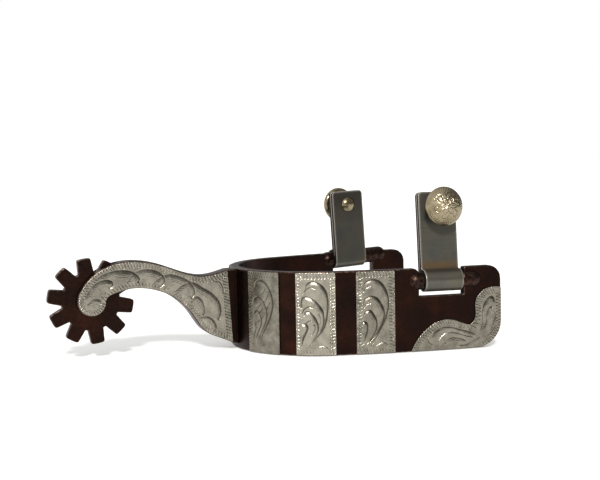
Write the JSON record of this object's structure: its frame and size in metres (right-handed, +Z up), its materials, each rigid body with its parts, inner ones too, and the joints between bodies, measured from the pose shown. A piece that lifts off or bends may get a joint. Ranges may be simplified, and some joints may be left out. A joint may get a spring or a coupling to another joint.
{
  "type": "western riding spur",
  "caption": "Western spur: U-shaped heel band with silver-faced bars, curved forked shank with a toothed rowel, and swinging hangers with domed strap buttons.",
  "frame": {"origin": "lower edge of the heel band, at the middle of its thickness, at the back of the heel, on the plane midway between the branches", "axes": "+X from the rowel to the branch ends, +Y to the left branch, +Z up"},
  "size_m": [0.1678, 0.0973, 0.0626],
  "materials": {
    "browned_steel": "dark brown antiqued steel, semi-gloss, worn along its edges",
    "engraved_silver": "nickel silver, hand engraved, softly polished",
    "brushed_hanger_steel": "brushed plain steel with faint heat tint",
    "button_silver": "warm nickel silver, engraved dome"
  },
  "bodies": {
    "frame": {"heel_band": "browned_steel", "shank": "browned_steel", "rowel_pin": "browned_steel", "right_hinge_pin": "browned_steel", "left_hinge_pin": "browned_steel", "right_heel_bar": "engraved_silver", "right_middle_bar": "engraved_silver", "right_front_bar": "engraved_silver", "left_heel_bar": "engraved_silver", "left_middle_bar": "engraved_silver", "left_front_bar": "engraved_silver", "right_shank_facing": "engraved_silver", "left_shank_facing": "engraved_silver", "right_corner_plate": "engraved_silver", "left_corner_plate": "engraved_silver"},
    "rowel": {"rowel": "browned_steel"},
    "right_hanger": {"right_hanger": "brushed_hanger_steel", "right_button": "button_silver", "right_button_rivet": "button_silver"},
    "left_hanger": {"left_hanger": "brushed_hanger_steel", "left_button": "button_silver", "left_button_rivet": "button_silver"}
  },
  "joints": [
    {"name": "rowel_spin", "type": "hinge", "parent": "frame", "child": "rowel", "pos_m": [-0.0588, 0, 0.022], "axis": [0, 1, 0], "continuous": true},
    {"name": "right_hanger_swing", "type": "hinge", "parent": "frame", "child": "right_hanger", "pos_m": [0.0684, -0.04103, 0.02685], "axis": [0.9946, -0.1033, 0], "range_deg": [-105, 155]},
    {"name": "left_hanger_swing", "type": "hinge", "parent": "frame", "child": "left_hanger", "pos_m": [0.0639, 0.04053, 0.0293], "axis": [-0.9921, -0.1178, -0.0436], "range_deg": [-125, 148]}
  ]
}
